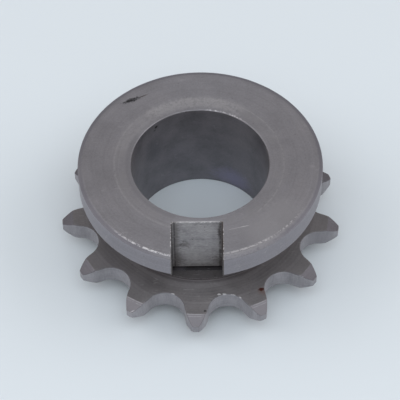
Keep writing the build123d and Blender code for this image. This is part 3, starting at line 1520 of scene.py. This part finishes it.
FINISHES: dict[Zone, SteelFinish] = {
    Zone.TURNED_FACE: SteelFinish(
        "turned_face_steel", (0.236, 0.23, 0.252), metallic=0.72, roughness=0.5, anisotropy=0.55, feed=0.34,
        mark_tone=0.45, mark_height=0.012, grain_size=0.35, grain_tone=0.35, cloud_size=6.0,
        cloud_tone=0.42, scratch_tone=0.1, pit_tone=0.2, wear_amount=0.2,
        bands=(
            ring(16.35, 1.1, (0.25, 0.244, 0.26), 0.5, soft=0.5, grain=3.5, broken=0.4),
            # Painted sheen: the inner ring lighter towards the back, and the face lighter towards the front
            # right
            ring(16.2, 1.3, (0.32, 0.312, 0.33), 0.35, soft=0.8, grain=1.1, broken=0.36, sector=(112, 56)),
            ring(16.3, 1.3, (0.36, 0.35, 0.37), 0.4, soft=0.8, grain=0.7, broken=0.38, sector=(94, 36)),
            ring(16.9, 0.5, (0.38, 0.37, 0.385), 0.35, soft=0.3, grain=0.4, broken=0.44, sector=(100, 30)),
            ring(20.8, 3.0, (0.285, 0.278, 0.298), 0.6, soft=1.4, grain=3.0, broken=0.15, sector=(-48, 18)),
            ring(17.4, 0.16, (0.32, 0.315, 0.33), 0.5, soft=0.12, broken=0.38, sector=(-165, 60)),
            ring(16.95, 0.14, (0.32, 0.315, 0.33), 0.5, soft=0.12, broken=0.38, sector=(5, 55)),
            ring(14.7, 0.5, (0.195, 0.19, 0.21), 0.55, soft=0.3, grain=1.5, broken=0.25, sector=(-160, 50)),
            # Painted shade on the rim's chamfer all round, then painted sheen on it either side of the slot
            ring(24.45, 0.4, (0.16, 0.155, 0.185), 0.6, soft=0.25),
            ring(24.3, 0.45, (0.26, 0.255, 0.272), 0.6, soft=0.2, grain=0.8, broken=0.3, sector=(-101, 13)),
            ring(24.2, 0.5, (0.275, 0.268, 0.285), 0.6, soft=0.25, grain=0.7, broken=0.34, sector=(-68, 16)),
            # Painted highlights: broken glint lines along the rim's rounding either side of the slot
            ring(
                24.0, 0.18, GLINT, 1.0, soft=0.12, grain=0.55, broken=0.42, sector=(-116, 15),
                roughness=-0.12,
            ),
            ring(23.6, 0.13, BRIGHT, 0.55, soft=0.12, grain=0.4, broken=0.52, sector=(-138, 10)),
            ring(
                23.35, 0.2, GLINT, 1.0, soft=0.12, grain=0.6, broken=0.38, sector=(-68, 7),
                roughness=-0.12,
            ),
            ring(23.75, 0.15, BRIGHT, 0.6, soft=0.12, grain=0.4, broken=0.5, sector=(-81, 6)),
            ring(23.5, 0.17, GLINT, 0.6, soft=0.12, grain=0.5, broken=0.46, sector=(-50, 14)),
            ring(23.5, 0.4, BRIGHT, 0.4, soft=0.3, grain=0.3, broken=0.53, sector=(-92, 48)),
            # Painted highlight on the bore's upper edge, at the back right
            ring(
                14.22, 0.14, GLINT, 0.8, soft=0.06, grain=0.7, broken=0.44, sector=(68, 15),
                roughness=-0.1,
            ),
        ),
        patches=(
            on_collar(
                (-14.1, 16.95), (2.4, 0.66), BLACK, 0.88, turn=25, ragged=1.5, soft=0.7, roughness=0.2,
            ),
            on_collar((-11.7, 18.1), (1.6, 0.2), BROWN, 0.7, turn=27, ragged=0.9, soft=0.8),
            on_collar((6.9, -16.75), (2.1, 0.13), BRIGHT, 0.6, turn=14, ragged=1.0, soft=0.7),
            on_collar((8.7, -16.3), (1.0, 0.11), GLINT, 0.6, turn=13, ragged=1.0, soft=0.7),
        ),
    ),
    Zone.COLLAR_SIDE: SteelFinish(
        "collar_side_steel", (0.292, 0.279, 0.303), metallic=0.88, roughness=0.52, anisotropy=0.35,
        travel=Coordinate.HEIGHT, feed=0.3, mark_tone=0.45, mark_height=0.012, grain_size=0.35,
        grain_tone=0.35, scratch_tone=0.2, pit_tone=0.3, wear_amount=0.35,
        bands=(
            level(17.72, 0.1, BRIGHT, 0.45, broken=0.35),
            # Painted highlight along the collar side's upper edge at the front
            level(22.62, 0.1, BRIGHT, 0.4, grain=0.4, broken=0.45, sector=(-92, 55)),
        ),
    ),
    # Painted light: the slot back's steel is lighter and less metallic than the other faces, so the upright
    # back looks lit
    Zone.SLOT_WALL: SteelFinish(
        "slot_wall_steel", (0.37, 0.36, 0.375), metallic=0.4, roughness=0.58, travel=Coordinate.HEIGHT,
        feed=0.3, wander=0.5, mark_tone=1.2, mark_height=0.02, grain_size=0.36, grain_tone=1.0,
        cloud_size=1.8, cloud_tone=1.0, cloud_stretch=(0.5, 1.0, 1.0), pit_tone=0.8, pit_spacing=0.8,
        pit_reach=0.2, grime_and_shade_reach=1.4, grime_and_shade_start=0.42, grime_and_shade_amount=0.6, wear=GLINT, wear_amount=0.8,
        wear_break=0.48,
        bands=(
            # Painted shade with brown dirt: darker back corners, and the side walls (x -5.86 and 4.25)
            # darkened whole
            upright(-5.25, 0.75, BROWN, 0.42, soft=0.6, grain=2.2, broken=0.25),
            upright(-5.3, 0.12, BLACK, 0.55, soft=0.1, grain=1.4, broken=0.3),
            upright(3.95, 0.35, BROWN, 0.5, soft=0.3, grain=2.0, broken=0.3),
            upright(3.78, 0.13, BLACK, 0.6, soft=0.1, grain=1.2, broken=0.42),
            upright(-5.86, 0.12, BLACK, 0.6, soft=0.08, grain=1.5, broken=0.2),
            upright(4.25, 0.16, BROWN, 0.8, soft=0.1, grain=1.5, broken=0.25),
            # Painted highlight along the broken top edge of the slot's walls
            level(22.72, 0.13, GLINT, 0.85, soft=0.08, grain=0.45, broken=0.48),
        ),
        patches=(
            on_slot_back((-3.3, 15.6), (1.9, 1.3), BROWN, 0.4, ragged=2.4, soft=0.9),
            on_slot_back((-4.4, 11.0), (1.6, 3.2), BROWN, 0.35, ragged=1.6, soft=0.9),
            on_slot_back((3.4, 10.2), (1.3, 2.4), BROWN, 0.35, ragged=1.6, soft=0.9),
            on_slot_back((-2.5, 21.2), (1.2, 0.5), BRIGHT, 0.4, ragged=2.4, soft=0.9),
            on_slot_back((-1.5, 12.2), (3.6, 2.6), (0.46, 0.45, 0.46), 0.45, ragged=0.8, soft=0.9),
            on_slot_back((3.6, 19.6), (0.45, 2.7), (0.03, 0.018, 0.016), 0.65, ragged=1.8, soft=0.8),
            on_slot_back((-3.5, 16.7), (1.2, 0.3), BLACK, 0.45, ragged=2.2, soft=0.8),
            on_slot_back((-4.0, 15.4), (0.9, 0.25), BLACK, 0.4, ragged=2.2, soft=0.8),
        ),
    ),
    # Painted shade: the slot floor's steel is set far darker than the plate's, as the shade in the slot's
    # recess
    Zone.SLOT_FLOOR: SteelFinish(
        "slot_floor_steel", (0.107, 0.099, 0.103), metallic=0.5, roughness=0.62, travel=Coordinate.ALONG,
        feed=0.25, grain_tone=0.4, wear_amount=0.15, scratch_tone=0.1,
    ),
    # Painted shade: the relief's steel is near-black like the shadowed gap at the slot's foot, with some
    # grime
    Zone.RELIEF: SteelFinish(
        "relief_grime", (0.062, 0.056, 0.062), metallic=0.2, roughness=0.75, grain_tone=0.6,
        wear_amount=0.0,
        patches=(
            Patch((-4.4, -15.1, 7.28), (1.8, 1.2, 1.0), (0.13, 0.12, 0.135), 0.7, ragged=1.0, soft=0.8),
        ),
    ),
    Zone.PLATE_FACE: SteelFinish(
        "plate_face_steel", (0.196, 0.186, 0.195), metallic=0.6, roughness=0.52, anisotropy=0.4, feed=0.55,
        wander=2.0, mark_tone=1.1, mark_height=0.02, grain_size=0.4, grain_tone=0.35, cloud_size=5.0,
        cloud_tone=0.5, pit_tone=0.35, grime_and_shade_amount=0.4,
        bands=(
            # Painted shade: a dark ring round the neck's foot, and a painted shadow of the collar on the
            # plate at the front left
            ring(18.75, 0.4, (0.11, 0.1, 0.105), 0.6, soft=0.3),
            ring(24.0, 3.0, (0.155, 0.148, 0.162), 0.45, soft=1.5, grain=2.5, broken=0.2, sector=(-137, 14)),
        ),
        patches=(
            on_plate((5.4, -21.0), (3.0, 1.3), (0.25, 0.24, 0.25), 0.55, turn=-12, ragged=0.8, soft=0.9),
            on_plate((12.3, -21.3), (1.6, 1.2), RUST_HALO, 0.6, turn=-30, ragged=1.2, soft=0.8),
            on_plate(
                (11.96, -20.87), (0.78, 0.52), RUST, 0.95, turn=15, ragged=1.0, soft=0.5, roughness=0.15,
            ),
            on_plate((0.62, -25.95), (0.34, 0.26), BLACK, 0.85, ragged=1.0, soft=0.5, height=-0.05),
        ) + EDGE_GLINTS,
    ),
    Zone.TOOTH_FLANK: SteelFinish(
        "tooth_flank_steel", (0.324, 0.315, 0.338), metallic=0.5, roughness=0.55, travel=Coordinate.HEIGHT,
        feed=0.5, wander=2.0, mark_tone=0.7, cloud_size=1.7, cloud_tone=0.75,
        cloud_stretch=(1.0, 1.0, 0.25), grain_size=0.35, grain_tone=0.5, scratch_tone=0.15,
        scratch_break=0.55,
        bands=(
            ring(28.7, 0.6, (0.25, 0.24, 0.262), 0.5, soft=0.4, sector=(-92, 18)),
            # Painted shade on the flanks of the right-hand teeth
            ring(25.5, 3.0, (0.255, 0.248, 0.27), 0.45, soft=1.0, grain=1.5, broken=0.2, sector=(-10, 16)),
        ),
    ),
    Zone.TOOTH_BEVEL: SteelFinish(
        "tooth_bevel_steel", (0.142, 0.135, 0.152), metallic=0.8, roughness=0.55, feed=0.3, mark_tone=1.3,
        grain_tone=0.35, wear=GLINT, wear_amount=0.35, wear_break=0.5,
        bands=(
            # Painted sheen on the bevels of the front teeth
            ring(28.0, 1.9, (0.218, 0.208, 0.226), 0.65, soft=0.5, grain=3.0, broken=0.1, sector=(-90, 36)),
            ring(28.7, 0.8, (0.18, 0.172, 0.188), 0.45, soft=0.5, sector=(-90, 40)),
            # Painted highlights along the bevels' step lines at the front
            ring(26.75, 0.09, BRIGHT, 0.42, soft=0.06, grain=1.4, broken=0.36, sector=(-92, 36)),
            ring(27.15, 0.07, BRIGHT, 0.35, soft=0.05, grain=1.4, broken=0.42, sector=(-92, 36)),
            # Painted shade over the fillet at the neck's foot
            ring(18.6, 0.4, (0.1, 0.09, 0.095), 0.8, soft=0.2),
        ),
        patches=(
            # Painted highlights on the bevels of three teeth
            Patch((-14.3, -25.2, 7.0), (1.0, 0.13, 0.9), GLINT, 0.7, turn=16, ragged=1.0, soft=0.6),
            Patch((20.1, -17.6, 7.0), (0.9, 0.14, 0.9), GLINT, 0.7, turn=-12, ragged=1.0, soft=0.6),
            Patch((-21.9, -15.45, 7.0), (0.5, 0.15, 0.9), GLINT, 0.7, turn=35, ragged=1.0, soft=0.6),
        ) + EDGE_GLINTS,
    ),
    Zone.BORE: SteelFinish(
        "bore_steel", (0.248, 0.235, 0.252), metallic=0.9, roughness=0.48, anisotropy=0.3,
        travel=Coordinate.HEIGHT, feed=0.4, mark_tone=0.2, cloud_size=4.5, cloud_tone=0.95, grain_tone=0.3,
        pit_tone=0.4, wear_amount=0.1, grime_and_shade_amount=0.2, scratch_tone=0.12,
        patches=(
            Patch((-10.0, 9.8, 14.3), (3.6, 3.6, 5.0), (0.15, 0.146, 0.168), 0.55, ragged=1.0, soft=0.9),
            Patch((-3.6, 13.5, 11.5), (4.2, 2.5, 2.8), (0.32, 0.303, 0.33), 0.5, ragged=1.4, soft=0.9),
            # Painted light: the bore's lower far wall made lighter and bluer, as the pale floor lights it
            Patch((7.2, 12.0, 2.8), (7.0, 5.5, 4.0), (0.32, 0.305, 0.43), 0.7, ragged=0.8, soft=0.9),
            Patch((-9.04, 10.69, 21.5), (0.55, 0.5, 0.45), BLACK, 0.85, ragged=1.4, soft=0.6),
            Patch((-9.3, 10.4, 20.7), (0.35, 0.35, 0.3), BLACK, 0.6, ragged=1.4, soft=0.7),
        ),
    ),
    Zone.UNDERSIDE: SteelFinish(
        "underside_steel", (0.21, 0.2, 0.212), metallic=0.65, roughness=0.52, anisotropy=0.4, feed=0.5,
        mark_tone=0.9,
    ),
}


# Studio


@dataclass(frozen=True)
class SoftLamp:
    """A square area lamp that faces the part."""

    name: str
    place: Point3
    watts: float
    colour: Colour = (1.0, 1.0, 1.0)
    size: float = 0.8

    def build(self) -> None:
        """Makes the lamp and turns it to the part."""
        data = bpy.data.lights.new(self.name, "AREA")
        data.shape = "SQUARE"
        data.size = self.size
        data.energy = self.watts
        data.color = self.colour
        lamp = linked(self.name, data)
        lamp.location = self.place
        lamp.rotation_euler = Vector(self.place).to_track_quat("Z", "Y").to_euler()


@dataclass(frozen=True)
class Studio:
    """A plain pale floor under an even sky and wide soft lamps."""

    floor_half: float = 3.0
    floor_colour: Colour = (0.66, 0.71, 0.76)
    floor_roughness: float = 0.75
    floor_specular: float = 0.2
    sky_colour: Colour = (1.0, 0.965, 0.935)
    sky_strength: float = 0.5
    lamps: tuple[SoftLamp, ...] = (
        SoftLamp("overhead_lamp", (0.0, -0.35, 0.85), 3.4, (0.86, 0.95, 1.0)),
        SoftLamp("left_lamp", (-0.75, 0.0, 0.6), 2.7),
        SoftLamp("right_lamp", (0.75, 0.0, 0.6), 3.0),
    )

    def build(self) -> Object:
        """Makes the floor, the sky and the lamps.

        Returns:
            The floor.
        """
        self._sky()
        for lamp in self.lamps:
            lamp.build()
        return self._floor()

    def _sky(self) -> None:
        """An even pale sky."""
        world = bpy.data.worlds.new("sky")
        bpy.context.scene.world = world
        world.use_nodes = True
        sky = world.node_tree.nodes["Background"]
        sky.inputs["Color"].default_value = (*self.sky_colour, 1.0)
        sky.inputs["Strength"].default_value = self.sky_strength

    def _floor(self) -> Object:
        """A wide pale floor at the boss's lower face.

        Returns:
            The floor.
        """
        data = bpy.data.meshes.new("floor")
        half = self.floor_half
        corners = [(-half, -half, 0), (half, -half, 0), (half, half, 0), (-half, half, 0)]
        data.from_pydata(corners, [], [(0, 1, 2, 3)])
        floor = linked("floor", data)
        material = bpy.data.materials.new("floor_paint")
        material.use_nodes = True
        shader = material.node_tree.nodes["Principled BSDF"]
        shader.inputs["Base Color"].default_value = (*self.floor_colour, 1.0)
        shader.inputs["Roughness"].default_value = self.floor_roughness
        shader.inputs["Specular IOR Level"].default_value = self.floor_specular
        data.materials.append(material)
        return floor


@dataclass(frozen=True)
class ViewCamera:
    """The camera: its place, its axes and its lens."""

    place: Point3 = (-0.0001214, -0.219539, 0.29113)
    right: Point3 = (0.9999, -0.0093, -0.0073)
    up: Point3 = (0.0118, 0.7875, 0.6162)
    lens: float = 154.29
    sensor: float = 36.0
    near: float = 0.01
    far: float = 20.0

    def build(self) -> Object:
        """Makes the camera the scene's own.

        Returns:
            The camera.
        """
        data = bpy.data.cameras.new("view_camera")
        data.lens = self.lens
        data.sensor_width = self.sensor
        data.clip_start = self.near
        data.clip_end = self.far
        right = Vector(self.right).normalized()
        back = right.cross(Vector(self.up)).normalized()
        turn = Matrix((right, back.cross(right), back)).transposed().to_4x4()
        camera = linked("view_camera", data)
        camera.matrix_world = Matrix.Translation(self.place) @ turn
        bpy.context.scene.camera = camera
        return camera


def main() -> None:
    """Builds the sprocket and its studio in order and reports each piece."""
    logging.basicConfig(level=logging.INFO, format="%(name)s: %(message)s")
    random.seed(SEED)
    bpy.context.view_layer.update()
    bpy.context.scene.view_settings.view_transform = "Standard"
    body = SprocketBody().build()
    effects = SteelEffects()
    for zone in Zone:
        body.data.materials.append(FINISHES[zone].build(effects))
    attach(body, "root")
    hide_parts("sprocket")
    log.info("%s: %d faces", body.name, len(body.data.polygons))
    floor = Studio().build()
    log.info("%s laid", floor.name)
    camera = ViewCamera().build()
    log.info("%s set", camera.name)


if __name__ == "__main__":
    main()
